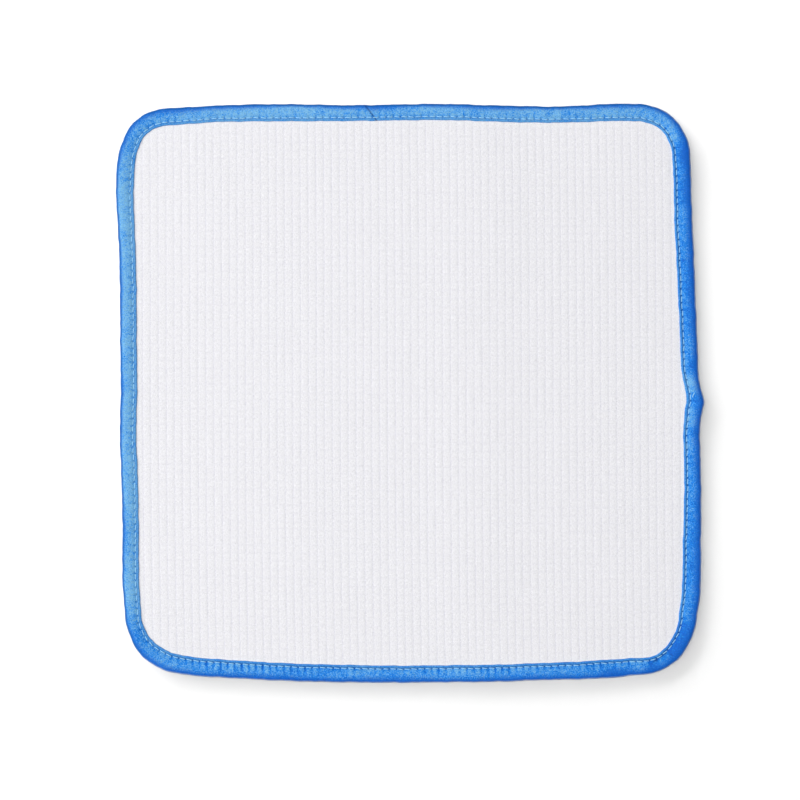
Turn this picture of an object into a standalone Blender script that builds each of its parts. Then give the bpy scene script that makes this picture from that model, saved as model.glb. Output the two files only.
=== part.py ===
"""A square waffle-weave microfibre towel, lying flat, with a folded satin binding round its edge.

Two sewn pieces are modelled: the waffle panel, cut with rounded corners, and the binding, one long
tape folded over the panel's cut edge and lapped over its own start on the right-hand side.

Metres in Blender; the sizes below are in millimetres. +Z is up, +Y is the towel's top side and the
origin is the middle of the outline, on the surface that the towel lies on.
"""

import math

import bmesh
import bpy
import numpy as np
from mathutils import Vector
from mathutils.geometry import delaunay_2d_cdt

MM = 0.001
COLLECTION = "waffle_towel"

# The outline, a four-sided figure with an arc at each corner and sides that bow.
# Each corner: centre of its arc, radius, the angle at which the arc starts.
CORNERS = {
    "bottom_right": {"x": 160.7, "y": -157.0, "radius": 36.6, "from_deg": 270},
    "top_right": {"x": 157.2, "y": 163.0, "radius": 36.6, "from_deg": 0},
    "top_left": {"x": -165.5, "y": 162.2, "radius": 35.4, "from_deg": 90},
    "bottom_left": {"x": -158.2, "y": -154.6, "radius": 38.7, "from_deg": 180},
}

# How far the edge stands outside its arc, and the width of the binding there.
# Columns: degrees, out, width.
CORNER_ROWS = {
    "bottom_right": [(270, 0.7, 11.6), (292, 0.0, 11.2), (315, -0.6, 12.1), (338, -0.9, 12.0),
                     (360, 0.5, 12.5)],
    "top_right": [(0, -0.3, 12.4), (22, -0.4, 12.4), (45, 0.0, 12.0), (68, 0.1, 12.0),
                  (90, 0.2, 12.0)],
    "top_left": [(90, -0.4, 11.9), (108, -0.4, 11.9), (135, 0.4, 12.0), (160, -0.2, 11.9),
                 (180, 1.2, 12.4)],
    "bottom_left": [(180, -0.1, 11.2), (202, -1.1, 11.4), (225, -0.6, 12.8), (248, -0.5, 13.1),
                    (270, 0.6, 13.0)],
}

# The same along each side, which joins two arcs. Columns: x or y of the row, out, width.
SIDE_ROWS = {
    "right": [(-143, 2.8, 12.9), (-130, 3.8, 12.8), (-106, 4.2, 12.6), (-81, 4.6, 12.0),
              (-56, 4.7, 11.6), (-31, 4.3, 11.5), (-23, 4.4, 11.5), (-17, 5.0, 11.6),
              (-12, 6.3, 12.4), (-6, 7.4, 12.4), (-1, 6.5, 11.5), (4, 4.9, 11.0),
              (10, 3.9, 11.1), (18, 3.6, 11.7), (43, 3.0, 11.8), (68, 2.2, 12.0),
              (93, 1.6, 12.2), (118, 0.7, 12.5), (143, 0.1, 12.1)],
    "top": [(146, 0.6, 11.9), (126, -0.1, 11.7), (101, -1.1, 11.1), (76, -0.5, 11.4),
            (51, 0.2, 11.2), (27, 1.1, 11.2), (2, 1.2, 11.1), (-23, 0.8, 10.9),
            (-48, 0.8, 11.0), (-73, 1.5, 11.7), (-110, 1.7, 11.8), (-135, 1.0, 11.4)],
    "left": [(143, 2.7, 12.3), (130, 2.4, 11.9), (106, 1.3, 11.5), (68, 0.8, 11.5),
             (31, 1.0, 11.4), (6, 1.0, 11.4), (-31, 2.1, 11.3), (-56, 1.5, 11.4),
             (-93, 1.1, 11.3), (-131, 1.5, 11.5)],
    "bottom": [(-147, 2.0, 12.8), (-123, 3.4, 12.4), (-98, 4.8, 12.3), (-73, 5.7, 12.1),
               (-48, 6.2, 12.1), (-11, 6.5, 11.8), (27, 6.1, 11.8), (64, 5.6, 11.8),
               (89, 4.5, 11.7), (114, 4.0, 12.1), (139, 2.9, 12.6)],
}

# Round the edge, anticlockwise from the lower right: each corner and the side that follows it.
ROUND = [("bottom_right", "right"), ("top_right", "top"),
         ("top_left", "left"), ("bottom_left", "bottom")]

# Distance between cross-sections along the edge.
SIDE_STEP = 11.0
CORNER_STEP = 5.8
LAP_STEP = 4.0

# The lap, where the tape's end is folded under and sewn over its start.
LAP_Y = -6.0
LAP_HALF_LENGTH = 17.0
LAP_RISE = 0.6

# Cross-section of the binding. Columns: edge it is measured from, distance in, height,
# share of the lap's rise. First the outside, from the upper leaf round the fold to the lower one.
BINDING_OUTSIDE = [
    ("inner", 0.0, 2.15, 1.0),
    ("inner", 0.3, 2.45, 1.0),
    ("inner", 2.9, 2.45, 1.0),
    ("inner", 4.6, 2.90, 1.0),
    ("outer", 4.2, 3.10, 1.0),
    ("outer", 2.0, 2.95, 1.0),
    ("outer", 0.6, 2.35, 0.6),
    ("outer", 0.0, 1.45, 0.0),
    ("outer", 0.6, 0.50, 0.0),
    ("outer", 2.0, 0.00, 0.0),
    ("inner", 0.3, 0.00, 0.0),
    ("inner", 0.0, 0.20, 0.0),
]
# Then the inside, from the lower leaf into the fold and back under the upper leaf.
BINDING_INSIDE = [
    ("inner", 0.1, 0.50, 0.0),
    ("outer", 1.7, 0.50, 0.0),
    ("outer", 0.65, 1.45, 0.0),
    ("outer", 2.1, 2.42, 0.0),
    ("outer", 4.2, 2.58, 0.0),
    ("inner", 4.6, 2.38, 0.0),
    ("inner", 2.9, 1.95, 0.0),
    ("inner", 0.1, 1.95, 0.0),
]

# The panel, pressed thin inside the binding and at full thickness beyond it.
# Columns: edge it is measured from, distance in, underside, upper side.
PANEL_SECTION = [
    ("outer", 2.0, 0.80, 1.65),
    ("inner", -0.5, 0.80, 1.65),
    ("inner", -3.0, 0.30, 1.92),
    ("inner", -5.5, 0.00, 2.00),
]
PANEL_COLUMN_STEP = 16.0
PANEL_ROW_STEP = 18.0
PANEL_MARGIN = 7.0
FOLD_COLUMNS = 9
FOLD_CLEARANCE = 5.0

# Soft upright folds that the towel keeps from its packing. Each row: x at the top and at the
# bottom, half its width, and its height at the top, in the middle and at the bottom.
FOLD_END_Y = 200.0
FOLDS = [
    {"x": (45.0, 43.0), "half_width": 44.0, "height": (0.45, 0.45, 0.40)},
    {"x": (-4.5, -3.5), "half_width": 12.0, "height": (0.09, 0.05, 0.11)},
]

# Places where the edge stands a little clear of the surface. Columns: x, y, height, reach.
LIFTS = [
    (196.0, 196.0, 1.1, 95.0),
    (-202.0, -198.0, 0.9, 85.0),
    (-201.0, 30.0, 0.5, 60.0),
    (203.0, -6.0, 0.5, 45.0),
    (95.0, -199.0, 0.5, 60.0),
]

# The whole edge curls up a little: its height at the edge, and how far in the curl reaches.
EDGE_CURL = 0.8
EDGE_CURL_REACH = 17.0

PANEL_COLOUR = (0.87, 0.87, 0.89, 1.0)
BINDING_COLOUR = (0.07, 0.28, 0.75, 1.0)
SHARP_DEGREES = 40.0


def clear_scene():
    """Remove every object that the scene holds."""
    for obj in list(bpy.data.objects):
        bpy.data.objects.remove(obj, do_unlink=True)


def arc_end(name, quarter):
    """Point on a corner's arc at its start (quarter 0) or its end (quarter 1)."""
    corner = CORNERS[name]
    angle = math.radians(corner["from_deg"] + 90.0 * quarter)
    return np.array([corner["x"] + corner["radius"] * math.cos(angle),
                     corner["y"] + corner["radius"] * math.sin(angle)])


def smooth_between(at, rows_at, rows_value, length):
    """Cubic curve through rows spaced along a closed path of the given length.

    Each row's slope is worked out from its two neighbours.
    """
    x = np.concatenate([rows_at[-2:] - length, rows_at, rows_at[:2] + length])
    y = np.concatenate([rows_value[-2:], rows_value, rows_value[:2]])
    slope = np.gradient(y, x)
    k = np.clip(np.searchsorted(x, at, side="right") - 1, 0, len(x) - 2)
    span = x[k + 1] - x[k]
    t = (at - x[k]) / span
    return ((2 * t**3 - 3 * t**2 + 1) * y[k] + (t**3 - 2 * t**2 + t) * span * slope[k]
            + (3 * t**2 - 2 * t**3) * y[k + 1] + (t**3 - t**2) * span * slope[k + 1])


def steps(start, end, step):
    """Even places from start up to, and without, end."""
    count = max(1, round((end - start) / step))
    return start + (end - start) * np.arange(count) / count


def edge_stations():
    """Go once round the figure, station by station.

    Gives the outer edge, centred on its own box, the figure's outward direction there and the
    binding's width.
    """
    at, base, normal = [], [], []
    rows = []
    travelled = 0.0
    for index, (corner_name, side_name) in enumerate(ROUND):
        corner = CORNERS[corner_name]
        arc_length = corner["radius"] * math.pi / 2
        for degrees, out, width in CORNER_ROWS[corner_name]:
            share = (degrees - corner["from_deg"]) / 90.0
            rows.append((travelled + share * arc_length, out, width))
        for place in steps(0.0, arc_length, CORNER_STEP):
            angle = math.radians(corner["from_deg"]) + place / corner["radius"]
            outward = np.array([math.cos(angle), math.sin(angle)])
            at.append(travelled + place)
            base.append((corner["x"], corner["y"]) + corner["radius"] * outward)
            normal.append(outward)
        travelled += arc_length

        start = arc_end(corner_name, 1)
        end = arc_end(ROUND[(index + 1) % len(ROUND)][0], 0)
        side_length = float(np.linalg.norm(end - start))
        along = (end - start) / side_length
        axis = 1 if side_name in ("right", "left") else 0
        for coordinate, out, width in SIDE_ROWS[side_name]:
            rows.append((travelled + (coordinate - start[axis]) / along[axis], out, width))
        places = steps(0.0, side_length, SIDE_STEP)
        if side_name == "right":
            lap_at = (LAP_Y - start[1]) / along[1]
            lap_from = lap_at - 1.5 * LAP_HALF_LENGTH
            lap_to = lap_at + 1.5 * LAP_HALF_LENGTH
            places = np.concatenate([steps(0.0, lap_from, SIDE_STEP),
                                     steps(lap_from, lap_to, LAP_STEP),
                                     steps(lap_to, side_length, SIDE_STEP)])
        for place in places:
            at.append(travelled + place)
            base.append(start + along * place)
            normal.append(np.array([along[1], -along[0]]))
        travelled += side_length

    rows = np.array(rows)
    at = np.array(at)
    normal = np.array(normal)
    out = smooth_between(at, rows[:, 0], rows[:, 1], travelled)
    width = smooth_between(at, rows[:, 0], rows[:, 2], travelled)
    edge = np.array(base) + normal * out[:, None]
    return edge - (edge.max(axis=0) + edge.min(axis=0)) / 2, normal, width


def bump(u):
    """Soft hill: one at u = 0, falling smoothly to nothing at u = 1 and beyond."""
    return np.clip(1.0 - u**2, 0.0, None)**2


def height_off_surface(points):
    """How far the towel's underside stands off the surface: its soft folds and its lifted edges."""
    x, y = points[:, 0], points[:, 1]
    height = np.zeros(len(points))
    for fold in FOLDS:
        top, middle, bottom = fold["height"]
        middle_x = np.interp(y, [-FOLD_END_Y, FOLD_END_Y], [fold["x"][1], fold["x"][0]])
        rise = np.interp(y, [-FOLD_END_Y, 0.0, FOLD_END_Y], [bottom, middle, top])
        height += rise * bump((x - middle_x) / fold["half_width"])
    for lift_x, lift_y, rise, reach in LIFTS:
        height += rise * bump(np.hypot(x - lift_x, y - lift_y) / reach)
    return height


def curl(depth):
    """How far the edge curls up, by the distance in from it."""
    u = np.clip(depth / EDGE_CURL_REACH, 0.0, 1.0)
    return EDGE_CURL * (1.0 - u * u * (3.0 - 2.0 * u))


def inset(edge, normal, width, measured_from, distance):
    """The edge moved inwards, by a distance from the binding's outer or its inner edge.

    Also gives how far the towel curls up there.
    """
    depth = np.full(len(edge), distance)
    if measured_from == "inner":
        depth = width - distance
    return edge - normal * depth[:, None], curl(depth)


def raised(points, z):
    """Points in plan with their height over the lifted surface, as Blender vectors."""
    z = z + height_off_surface(points)
    return [Vector((px * MM, py * MM, pz * MM)) for (px, py), pz in zip(points, z)]


def ring_faces(bm, lower, upper):
    """Quads between two closed rows of vertices, which run anticlockwise seen from above."""
    count = len(lower)
    for i in range(count):
        j = (i + 1) % count
        bm.faces.new((lower[i], lower[j], upper[j], upper[i]))


def add_object(name, bm, material, collection):
    """Turn a finished bmesh into a smooth-shaded object with its material."""
    mesh = bpy.data.meshes.new(name)
    bm.to_mesh(mesh)
    bm.free()
    mesh.materials.append(material)
    mesh.shade_smooth()
    mesh.set_sharp_from_angle(angle=math.radians(SHARP_DEGREES))
    obj = bpy.data.objects.new(name, mesh)
    collection.objects.link(obj)
    return obj


def make_material(name, colour, roughness, sheen):
    """Plain cloth finish."""
    material = bpy.data.materials.new(name)
    material.use_nodes = True
    shader = material.node_tree.nodes["Principled BSDF"]
    shader.inputs["Base Color"].default_value = colour
    shader.inputs["Roughness"].default_value = roughness
    shader.inputs["Metallic"].default_value = 0.0
    shader.inputs["Sheen Weight"].default_value = sheen
    return material


def build_binding(stations, collection):
    """The folded tape: its cross-section carried round the edge as one closed ring."""
    edge, normal, width = stations
    rise = LAP_RISE * bump((edge[:, 1] - LAP_Y) / LAP_HALF_LENGTH) * (edge[:, 0] > 0)
    bm = bmesh.new()
    rows = []
    for measured_from, distance, z, lap_share in BINDING_OUTSIDE + BINDING_INSIDE:
        points, curled = inset(edge, normal, width, measured_from, distance)
        places = raised(points, z + curled + lap_share * rise)
        rows.append([bm.verts.new(place) for place in places])
    for row, following in zip(rows, rows[1:] + rows[:1]):
        ring_faces(bm, following, row)
    bmesh.ops.recalc_face_normals(bm, faces=bm.faces)
    material = make_material("binding_satin", BINDING_COLOUR, 0.55, 0.3)
    return add_object("edge_binding", bm, material, collection)


def columns_inside(rim):
    """Upright columns of points across the panel, closer together over the soft folds."""
    upper = rim[rim[:, 1] > 0]
    lower = rim[rim[:, 1] <= 0]
    upper = upper[np.argsort(upper[:, 0])]
    lower = lower[np.argsort(lower[:, 0])]
    left, right = rim[:, 0].min() + PANEL_MARGIN, rim[:, 0].max() - PANEL_MARGIN
    xs = list(np.linspace(left, right, round((right - left) / PANEL_COLUMN_STEP) + 1))
    for fold in FOLDS:
        middle, half = sum(fold["x"]) / 2, fold["half_width"]
        xs = [x for x in xs if abs(x - middle) > half + FOLD_CLEARANCE]
        xs += list(middle + half * np.linspace(-1.0, 1.0, FOLD_COLUMNS))
    points = []
    for x in sorted(xs):
        top = np.interp(x, upper[:, 0], upper[:, 1]) - PANEL_MARGIN
        bottom = np.interp(x, lower[:, 0], lower[:, 1]) + PANEL_MARGIN
        ys = np.linspace(bottom, top, max(2, round((top - bottom) / PANEL_ROW_STEP) + 1))
        points += [(x, y) for y in ys]
    return np.array(points)


def build_panel(stations, collection):
    """The waffle panel: lofted rings where it thins into the binding, then a filled field."""
    edge, normal, width = stations
    bm = bmesh.new()
    rings = [inset(edge, normal, width, row[0], row[1]) for row in PANEL_SECTION]
    under = []
    over = []
    for (ring, curled), (_, _, z_under, z_over) in zip(rings, PANEL_SECTION):
        under.append([bm.verts.new(place) for place in raised(ring, z_under + curled)])
        over.append([bm.verts.new(place) for place in raised(ring, z_over + curled)])
    ring_faces(bm, under[0], over[0])
    for k in range(len(rings) - 1):
        ring_faces(bm, over[k], over[k + 1])
        ring_faces(bm, under[k + 1], under[k])

    rim, _ = rings[-1]
    field = columns_inside(rim)
    rim_count = len(edge)
    plan = [Vector(p) for p in np.concatenate([rim, field])]
    rim_edges = [(i, (i + 1) % rim_count) for i in range(rim_count)]
    _, _, triangles, _, _, _ = delaunay_2d_cdt(plan, rim_edges, [], 1, 1e-6)
    _, _, z_under, z_over = PANEL_SECTION[-1]
    under_verts = under[-1] + [bm.verts.new(place) for place in raised(field, z_under)]
    over_verts = over[-1] + [bm.verts.new(place) for place in raised(field, z_over)]
    for a, b, c in triangles:
        bm.faces.new((over_verts[a], over_verts[b], over_verts[c]))
        bm.faces.new((under_verts[c], under_verts[b], under_verts[a]))
    bmesh.ops.recalc_face_normals(bm, faces=bm.faces)
    material = make_material("waffle_cloth", PANEL_COLOUR, 0.9, 0.4)
    return add_object("waffle_panel", bm, material, collection)


def main():
    clear_scene()
    collection = bpy.data.collections.new(COLLECTION)
    bpy.context.scene.collection.children.link(collection)
    stations = edge_stations()
    build_panel(stations, collection)
    build_binding(stations, collection)


main()
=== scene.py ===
import math

import bpy
import numpy as np
from mathutils.geometry import delaunay_2d_cdt
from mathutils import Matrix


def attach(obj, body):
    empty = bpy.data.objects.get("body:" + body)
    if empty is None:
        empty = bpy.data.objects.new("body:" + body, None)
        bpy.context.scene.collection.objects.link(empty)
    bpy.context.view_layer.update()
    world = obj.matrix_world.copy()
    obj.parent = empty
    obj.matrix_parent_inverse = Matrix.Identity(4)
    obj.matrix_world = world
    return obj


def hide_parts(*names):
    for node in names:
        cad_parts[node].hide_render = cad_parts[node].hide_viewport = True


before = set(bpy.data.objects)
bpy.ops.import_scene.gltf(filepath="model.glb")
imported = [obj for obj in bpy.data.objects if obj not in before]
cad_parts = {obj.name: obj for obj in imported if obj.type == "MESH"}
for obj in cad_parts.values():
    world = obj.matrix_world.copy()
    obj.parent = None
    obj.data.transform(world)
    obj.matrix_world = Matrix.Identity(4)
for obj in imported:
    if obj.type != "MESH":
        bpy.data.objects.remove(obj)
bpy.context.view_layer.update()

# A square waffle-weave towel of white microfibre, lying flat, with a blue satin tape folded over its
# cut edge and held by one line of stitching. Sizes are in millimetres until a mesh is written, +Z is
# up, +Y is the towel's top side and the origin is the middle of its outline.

MM = 0.001
UP = np.array([0.0, 0.0, 1.0])

# The outline: an arc at each corner and sides that bow. Centre of the arc, radius, starting angle.
CORNERS = {
    "bottom_right": {"x": 160.7, "y": -157.0, "radius": 36.6, "from_deg": 270},
    "top_right": {"x": 157.2, "y": 163.0, "radius": 36.6, "from_deg": 0},
    "top_left": {"x": -165.5, "y": 162.2, "radius": 35.4, "from_deg": 90},
    "bottom_left": {"x": -158.2, "y": -154.6, "radius": 38.7, "from_deg": 180},
}
# How far the edge stands outside its arc, and the tape's width. Columns: degrees, out, width.
CORNER_ROWS = {
    "bottom_right": [
        (270, 0.7, 11.6), (292, 0, 11.2), (315, -0.6, 12.1), (338, -0.9, 12), (360, 0.5, 12.5)],
    "top_right": [
        (0, -0.3, 12.4), (22, -0.4, 12.4), (45, 0, 12), (68, 0.1, 12), (90, 0.2, 12)],
    "top_left": [
        (90, -0.4, 11.9), (108, -0.4, 11.9), (135, 0.4, 12), (160, -0.2, 11.9), (180, 1.2, 12.4)],
    "bottom_left": [
        (180, -0.1, 11.2), (202, -1.1, 11.4), (225, -0.6, 12.8), (248, -0.5, 13.1), (270, 0.6, 13)],
}
# The same along each side. Columns: x or y of the row, out, width.
SIDE_ROWS = {
    "right": [
        (-143, 2.8, 12.9), (-130, 3.8, 12.8), (-106, 4.2, 12.6), (-81, 4.6, 12), (-56, 4.7, 11.6),
        (-31, 4.3, 11.5), (-23, 4.4, 11.5), (-17, 5, 11.6), (-12, 6.3, 12.4), (-6, 7.4, 12.4),
        (-1, 6.5, 11.5), (4, 4.9, 11), (10, 3.9, 11.1), (18, 3.6, 11.7), (43, 3, 11.8),
        (68, 2.2, 12), (93, 1.6, 12.2), (118, 0.7, 12.5), (143, 0.1, 12.1)],
    "top": [
        (146, 0.6, 11.9), (126, -0.1, 11.7), (101, -1.1, 11.1), (76, -0.5, 11.4), (51, 0.2, 11.2),
        (27, 1.1, 11.2), (2, 1.2, 11.1), (-23, 0.8, 10.9), (-48, 0.8, 11), (-73, 1.5, 11.7),
        (-110, 1.7, 11.8), (-135, 1, 11.4)],
    "left": [
        (143, 2.7, 12.3), (130, 2.4, 11.9), (106, 1.3, 11.5), (68, 0.8, 11.5), (31, 1, 11.4),
        (6, 1, 11.4), (-31, 2.1, 11.3), (-56, 1.5, 11.4), (-93, 1.1, 11.3), (-131, 1.5, 11.5)],
    "bottom": [
        (-147, 2, 12.8), (-123, 3.4, 12.4), (-98, 4.8, 12.3), (-73, 5.7, 12.1), (-48, 6.2, 12.1),
        (-11, 6.5, 11.8), (27, 6.1, 11.8), (64, 5.6, 11.8), (89, 4.5, 11.7), (114, 4, 12.1),
        (139, 2.9, 12.6)],
}
# Round the edge, anticlockwise from the lower right: each corner and the side that follows it.
ROUND = [("bottom_right", "right"), ("top_right", "top"),
         ("top_left", "left"), ("bottom_left", "bottom")]
# Step of the edge line, and its faint wobble. Columns: swings in one round, size, start.
EDGE_STEP = 0.5
EDGE_WOBBLE = [(63, 0.10, 0.4), (101, 0.07, 2.1), (149, 0.06, 4.0), (233, 0.04, 1.2)]

# Soft upright folds kept from packing: x at the top and at the bottom, half the width, and the
# height at the top, in the middle and at the bottom.
FOLD_END_Y = 200.0
FOLDS = [
    {"x": (45.0, 43.0), "half_width": 44.0, "height": (0.45, 0.45, 0.40)},
    {"x": (-4.5, -3.5), "half_width": 12.0, "height": (0.09, 0.05, 0.11)},
]
# Places where the edge stands a little clear of the surface. Columns: x, y, height, reach.
LIFTS = [
    (196, 196, 1.1, 95), (-202, -198, 0.9, 85), (-201, 30, 0.5, 60), (203, -6, 0.5, 45),
    (95, -199, 0.5, 60),
]

# The whole edge curls up a little: its height at the edge, and how far in the curl reaches.
EDGE_CURL = 0.8
EDGE_CURL_REACH = 17.0

# The weave: pitch of its columns and rows, and how both drift over the cloth, in cells, as the
# terms of a cubic in x and y over DRIFT_REACH: 1, x, y, xx, xy, yy, xxx, xxy, xyy, yyy.
COLUMN_PITCH = 5.445
ROW_PITCH = 5.563
DRIFT_REACH = 172.75
COLUMN_DRIFT = [-0.156, -0.033, 0.086, -0.024, 0.028, -0.058, -0.057, 0.028, 0.066, 0.130]
ROW_DRIFT = [0.151, 0.328, 0.103, -0.179, -0.061, -0.092, -0.213, -0.042, 0.109, -0.112]
# Grid lines in one cell, as shares of it, and those of them that the underside uses.
COLUMN_STATIONS = [0.0, 0.1, 0.3, 0.7, 0.9]
COLUMN_STATIONS_UNDER = [0, 2, 3]
ROW_STATIONS = [0.0, 0.3, 0.7]
ROW_STATIONS_UNDER = [0]
# Depth of the grooves between columns, between rows and on the underside, the share of the last
# that its rows get, and how unlike the pillows are in height.
COLUMN_GROOVE = 0.20
ROW_GROOVE = 0.11
BACK_GROOVE = 0.22
BACK_ROW_SHARE = 0.4
PILLOW_UNEVEN = 0.05
# The relief of one cell, with widths as shares of it: a groove and a dome between columns, a dome
# between rows, how far a groove is filled where rows cross it, and a pillow's own rounded rim.
GROOVE = {"weight": 0.74, "width": 0.085}
DOME = {"weight": 0.26, "width": 0.45, "power": 1.6}
ROW_DOME = {"width": 0.36, "power": 1.5}
CROSSING = {"filled": 0.60, "width": 0.17, "row_loss": 0.9}
PILLOW_RIM = 0.3
# Rounds of the search for a cell's place, and how little a place may fall short of a cell and
# still count as in it.
WEAVE_ROUNDS = 8
SAME_CELL = 1e-6
# Cells on either side of the middle, how far in the cloth is cut and its grid ends, the step along
# the cut, and how near points of the strip beside it count as one.
CLOTH_COLUMNS = 38
CLOTH_ROWS = 37
CLOTH_CUT = 2.0
CLOTH_GRID_EDGE = 4.0
CUT_STEP = 3.0
SAME_POINT = 1e-6
# Places with x or y beyond these are searched for their distance from the edge, part by part, on
# every second point of the edge line. The others count as far inside.
NEAR_EDGE = (165.0, 162.0)
FAR_INSIDE = 60.0
SEARCH_STEP = 2
SEARCH_PART = 4000
# The cloth's section, pressed thin under the tape. Columns: distance beyond the tape's inner
# edge, underside, upper side, share of the weave's relief.
CLOTH_SECTION = [
    (-9, 0.85, 1.4, 0), (-3, 0.85, 1.42, 0.1), (-0.5, 0.82, 1.58, 0.35), (0.6, 0.75, 1.7, 0.8),
    (3, 0.3, 1.92, 1), (5.5, 0, 2, 1),
]

# The tape's cross-section, round its outside and back along its inside, in runs that are measured
# from its inner or its outer edge. Columns: distance in, height, share of the upper leaf's relief.
TAPE_RUNS = [
    ("inner", [
        (0, 1.8, 1), (0.1, 2.16, 1), (0.42, 2.42, 1), (0.9, 2.55, 1), (1.5, 2.5, 1),
        (1.9, 2.36, 1), (2.3, 2.26, 1), (2.7, 2.38, 1), (3.3, 2.64, 1), (4.5, 2.97, 1)]),
    ("outer", [
        (5.2, 3.14, 1), (4.1, 3.19, 1), (3, 3.13, 1), (2.1, 2.98, 0.95), (1.3, 2.72, 0.85),
        (0.65, 2.34, 0.7), (0.22, 1.9, 0.4), (0, 1.42, 0.1), (0.2, 0.92, 0), (0.65, 0.46, 0),
        (1.4, 0.13, 0), (2.6, 0, 0)]),
    ("inner", [
        (3.8, 0, 0), (2.9, 0.08, 0), (2.6, 0.28, 0), (2.3, 0.38, 0), (2, 0.28, 0), (1.7, 0.08, 0),
        (1, 0, 0), (0.4, 0.02, 0), (0.08, 0.16, 0), (0, 0.38, 0), (0.12, 0.54, 0), (1.5, 0.58, 0),
        (2.3, 0.8, 0), (3.2, 0.56, 0)]),
    ("outer", [
        (2.8, 0.52, 0), (1.2, 0.74, 0), (0.62, 1.42, 0.1), (1.2, 2.12, 0.8), (2.6, 2.52, 0.9),
        (4.6, 2.6, 1)]),
    ("inner", [
        (3.4, 2.14, 1), (2.3, 1.74, 0.6), (1.2, 1.86, 1), (0.2, 1.68, 1)]),
]
# The width that the tape's finish is laid out for.
TAPE_NOMINAL_WIDTH = 12.0

# Stitching: its distance from the tape's inner edge, more near the lap, its pitch, and the
# needle holes.
STITCH_IN = 2.3
STITCH_IN_AT_LAP = 2.8
STITCH_LAP = {"y": -6.0, "reach": 26.0}
STITCH_PITCH = 4.87
HOLE_DEPTH = 0.42
HOLE_WIDTH = 0.55
HOLE_UNEVEN = 0.3
HOLE_LIMITS = (0.4, 1.6)
# Puckers: width of the valley at each hole, where they start and end across the tape and how
# soon they are full, and how high the swell between valleys stands, in the shape and in the
# painted sheen.
VALLEY_WIDTH = 0.85
PUCKER_START = 2.2
PUCKER_RISE = 1.4
PUCKER_REACH = 9.0
PUCKER_FALL = 6.0
PUCKER_MEAN = 0.3
SWELL_MEAN = 0.35
# How strongly the stitches draw the tape in. Columns: x, y, reach, height of the puckers.
PUCKERS = [
    (-112, -194, 66, 0.3), (52, -196, 60, 0.21), (150, -190, 60, 0.15), (170, 172, 60, 0.1),
    (-165, 172, 60, 0.1), (195, -90, 70, 0.06),
]
PUCKER_ELSEWHERE = 0.06
# The painted shade along the seam: how far it lies inwards of the stitching, and its half width.
SEAM_OFFSET = 0.6
SEAM_WIDTH = 0.55

# How much painted sheen the tape gets where it faces the light, and how far in the painted
# shade of the outer fold reaches: on average and by the parts of the edge's outward direction.
# Waves: swings in one round, size, start.
LIGHT_OF_SIDE = {"plain": 0.42, "x": -0.34, "y": 0.22}
SHEEN_WAVES = [(9, 0.07, 0.7), (23, 0.05, 2.0)]
# Painted sheen on the swells between the puckers.
SHEEN_OF_SWELL = 4.6
SHEEN_LIMITS = (-0.6, 1.2)
FOLD_OF_SIDE = {"plain": 4.4, "x": 1.9, "y": -0.5}
FOLD_WAVES = [(17, 0.5, 1.0)]
FOLD_LEAST = 1.0
# The band of extra painted sheen before the lap's end: change of tone, how far before the end,
# half width.
LAP_BAND = {"tone": 0.60, "before": 9.0, "half_width": 6.0}
# Patches where the painted sheen and the painted shade of the outer fold differ. Columns: x, y,
# reach, change of tone by painted sheen, change of the reach of the outer fold's painted shade.
PATCHES = [
    (-190, -171, 34, -0.38, 1.1), (-190, 182, 32, -0.45, 1.5), (-165, 197, 30, -0.1, 1.8),
    (-19, 198, 18, -0.05, 1.8), (-201, 5, 9, -0.4, 0.5), (-201, 36, 22, 0.12, 0),
    (-201, -15, 10, 0.18, 0), (187, -171, 26, -0.3, 1), (143, -195, 17, -0.38, 2.8),
    (190.5, 165.5, 13, -0.65, 3), (168, 184, 20, 0.15, -0.5), (193, 33, 10, 0.3, -0.5),
    (195, 18, 7, -0.3, 0.5), (195, -19, 8, 0.25, -0.5), (197, -26, 5, -0.35, 0.5),
    (60, 199, 30, -0.12, 0.5), (-80, 199, 26, 0.1, -0.6), (-200, -90, 24, -0.12, 0.4),
    (197, 95, 26, -0.12, 0.6), (197, -86, 20, -0.08, 0.1), (167, -187.5, 9, -0.6, 1.6),
    (180.5, -175, 10.5, -0.5, 1.3), (188.5, -162, 9, -0.35, 1), (195, 140, 22, -0.22, 1.3),
    (199.5, -5, 9, -0.35, 0),
]
# Stations along the tape in one stitch, as shares of it; holes are at 0.
STITCH_STATIONS = [0.0, 0.1, 0.28, 0.5, 0.72, 0.9]
# Near the slanting join they are closer: how far from it, and their step.
JOIN_MARGIN = 2.0
JOIN_STEP = 0.28
# Shallow waves of the upper leaf, and how far in they are full. Columns: swings in one round,
# size, start, slant across the tape.
WAVES_IN = 2.5
WAVES = [(37, 0.045, 0.3, 0.2), (58, 0.04, 2.2, -0.35), (91, 0.035, 4.4, 0.5),
         (137, 0.03, 1.0, -0.3), (211, 0.02, 5.1, 0.6)]

# The lap: the tape's folded end crosses the width along this line, from inner to outer edge. It
# is on the right-hand side only, beyond LAP_SIDE_X.
LAP_LINE = ((187.6, 0.5), (200.7, -7.1))
LAP_RISE = 0.75
LAP_RUN_UP = 17.0
LAP_DROP = 4.5
LAP_LOSS = 0.85
LAP_FADE = 16.0
LAP_SIDE_X = 100.0

# Narrow creases and joins in the tape, sunk and given painted shade. Columns: from x, y, to x,
# y, half width, depth, painted shade.
CREASES = [
    (-31.6, 199.4, -22.6, 188, 0.45, 0.34, 1), (167.8, -185.6, 176.8, -179.5, 0.6, 0.4, 0.9),
    (176.5, -177.5, 181, -181, 0.45, 0.22, 0.4),
]

# The thread: its radius, its rings as shares of a stitch, its sides, and how square its arch and
# its round ends are.
THREAD_RADIUS = 0.25
THREAD_RINGS = [0.0, 0.05, 0.16, 0.5, 0.84, 0.95, 1.0]
THREAD_SIDES = 6
ARCH_POWER = 6
END_POWER = 8
END_LEAST = 0.02
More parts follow.
